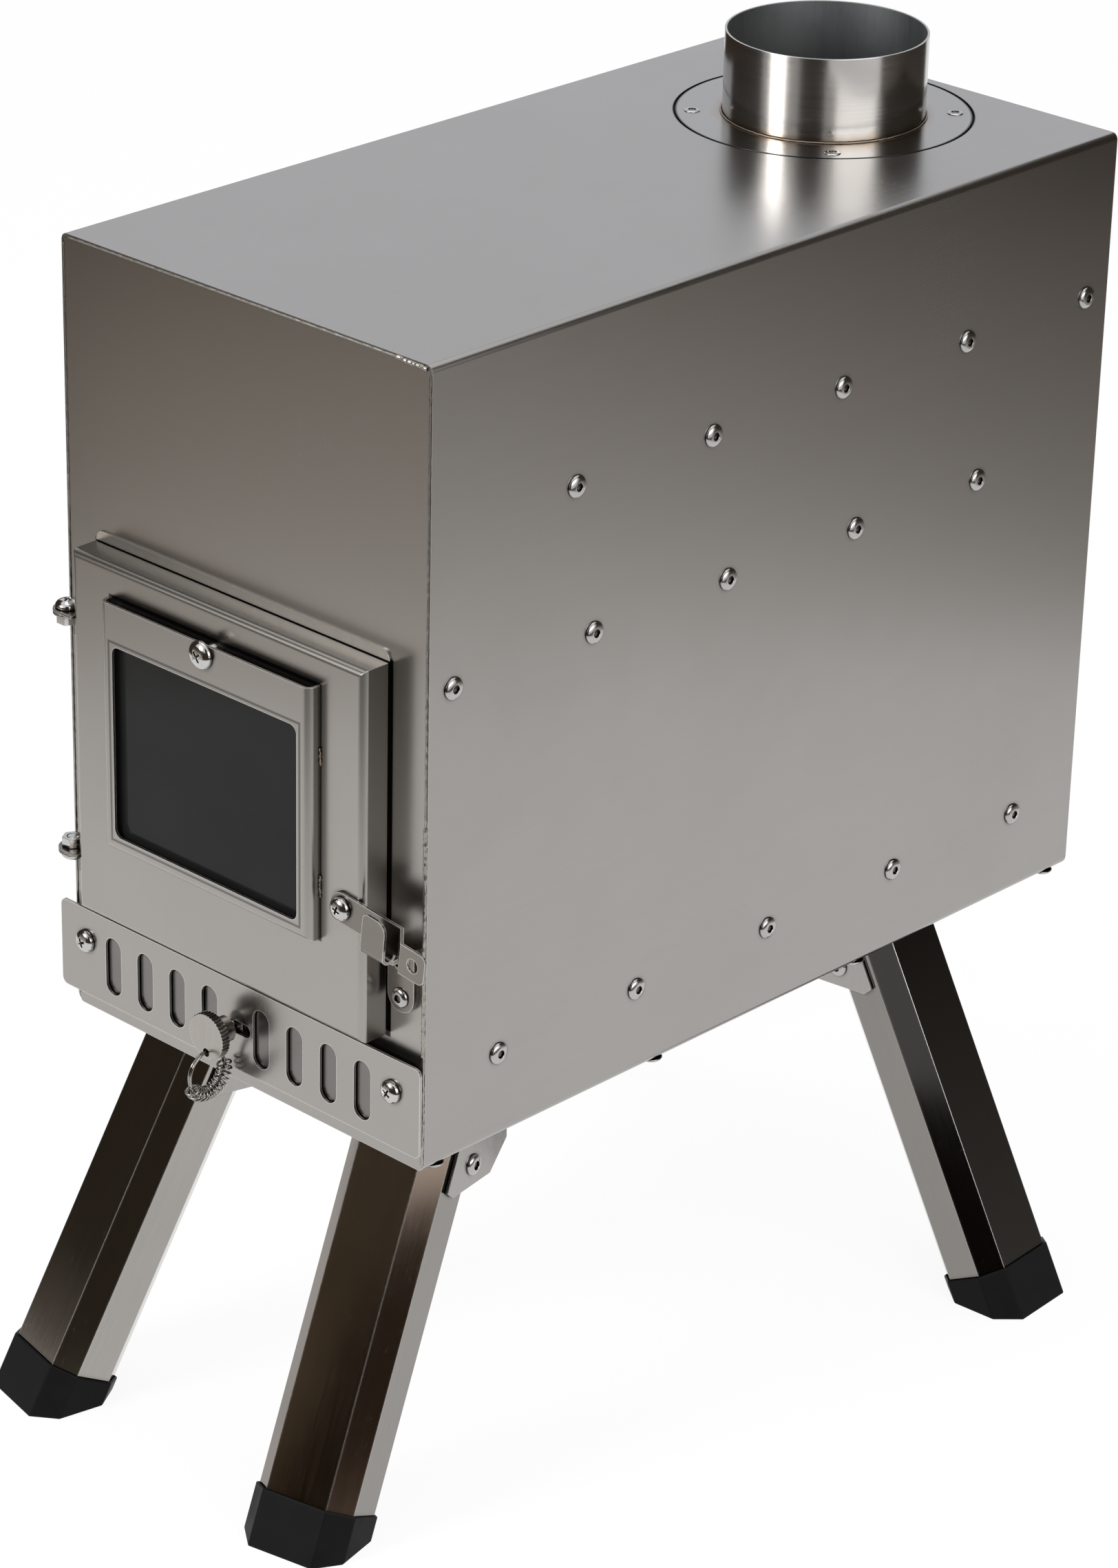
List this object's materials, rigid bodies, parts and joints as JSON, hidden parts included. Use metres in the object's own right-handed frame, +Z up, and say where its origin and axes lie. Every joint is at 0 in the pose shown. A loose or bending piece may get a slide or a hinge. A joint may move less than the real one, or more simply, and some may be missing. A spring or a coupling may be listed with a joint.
{
  "type": "tent wood stove",
  "caption": "Portable box wood stove of brushed sheet steel with a glazed door, a sliding air control, a flue collar and folding legs of bevelled tube.",
  "frame": {"origin": "on the floor, in the middle of the space that the standing stove takes up", "axes": "+X to the right as seen from the front, +Y to the back, +Z up; the door faces -Y"},
  "size_m": [0.3466, 0.465, 0.5345],
  "materials": {
    "brushed_sheet": "brushed stainless sheet",
    "flue_steel": "brushed round, slightly tinted at the weld",
    "polished_leg_steel": "polished, lightly scratched",
    "bracket_steel": "satin stamped steel",
    "bright_steel": "bright fasteners",
    "black_plastic": "fine grained",
    "smoked_glass": "dark, smooth"
  },
  "bodies": {
    "stove": {"outer_shell": "brushed_sheet", "front_panel": "brushed_sheet", "back_panel": "brushed_sheet", "bottom_panel": "brushed_sheet", "lower_baffle": "brushed_sheet", "upper_baffle": "brushed_sheet", "left_grate_rail": "brushed_sheet", "right_grate_rail": "brushed_sheet", "fire_grate": "brushed_sheet", "side_rivets": "bright_steel", "back_rivets": "bright_steel", "bottom_rivets": "bright_steel", "flue_ring": "brushed_sheet", "flue_flange": "flue_steel", "flue_collar": "flue_steel", "flange_rivets": "bright_steel", "upper_body_ear": "bracket_steel", "lower_body_ear": "bracket_steel", "hinge_screws": "bright_steel", "hinge_nuts": "bright_steel", "latch_keeper": "bracket_steel", "keeper_rivets": "bright_steel", "vent_plate": "brushed_sheet", "vent_screws": "bright_steel", "vent_nuts": "bright_steel", "vent_spacers": "bracket_steel", "front_right_bracket": "bracket_steel", "front_left_bracket": "bracket_steel", "rear_right_bracket": "bracket_steel", "rear_left_bracket": "bracket_steel", "leg_rivets": "bright_steel"},
    "door": {"door_panel": "brushed_sheet", "upper_door_ear": "bracket_steel", "lower_door_ear": "bracket_steel", "window_frame": "brushed_sheet", "window_glass": "smoked_glass", "window_screw": "bright_steel", "window_nut": "bright_steel", "latch_screw": "bright_steel", "latch_nut": "bright_steel"},
    "latch": {"latch_strap": "bracket_steel"},
    "air_control": {"air_slider": "brushed_sheet", "slider_stud": "bright_steel", "knob": "bright_steel"},
    "handle": {"handle_ring": "bright_steel", "handle_spring": "bright_steel"},
    "front_right_leg_body": {"front_right_leg": "polished_leg_steel", "front_right_foot": "black_plastic"},
    "front_left_leg_body": {"front_left_leg": "polished_leg_steel", "front_left_foot": "black_plastic"},
    "rear_right_leg_body": {"rear_right_leg": "polished_leg_steel", "rear_right_foot": "black_plastic"},
    "rear_left_leg_body": {"rear_left_leg": "polished_leg_steel", "rear_left_foot": "black_plastic"}
  },
  "joints": [
    {"name": "door_hinge", "type": "hinge", "parent": "stove", "child": "door", "pos_m": [-0.0934, -0.17827, 0.282], "axis": [0, 0, -1], "range_deg": [0, 135]},
    {"name": "latch_pivot", "type": "hinge", "parent": "door", "child": "latch", "pos_m": [0.0719, -0.18457, 0.273], "axis": [0, -1, 0], "range_deg": [0, 90]},
    {"name": "air_slide", "type": "slide", "parent": "stove", "child": "air_control", "axis": [1, 0, 0], "range_m": [0, 0.0075]},
    {"name": "handle_swing", "type": "hinge", "parent": "air_control", "child": "handle", "pos_m": [-0.0013, -0.18777, 0.1834], "axis": [0, 1, 0], "range_deg": [-35, 35]},
    {"name": "front_right_fold", "type": "hinge", "parent": "stove", "child": "front_right_leg_body", "pos_m": [0.0613, -0.12957, 0.1418], "axis": [0.9781, 0.2079, 0], "range_deg": [0, 117]},
    {"name": "front_left_fold", "type": "hinge", "parent": "stove", "child": "front_left_leg_body", "pos_m": [-0.0613, -0.12957, 0.1418], "axis": [0.9781, -0.2079, 0], "range_deg": [0, 117]},
    {"name": "rear_right_fold", "type": "hinge", "parent": "stove", "child": "rear_right_leg_body", "pos_m": [0.0705, 0.13893, 0.1418], "axis": [-0.0698, 0.9976, 0], "range_deg": [0, 117]},
    {"name": "rear_left_fold", "type": "hinge", "parent": "stove", "child": "rear_left_leg_body", "pos_m": [-0.0705, 0.19093, 0.1418], "axis": [0.0698, -0.9976, 0], "range_deg": [0, 117]}
  ]
}
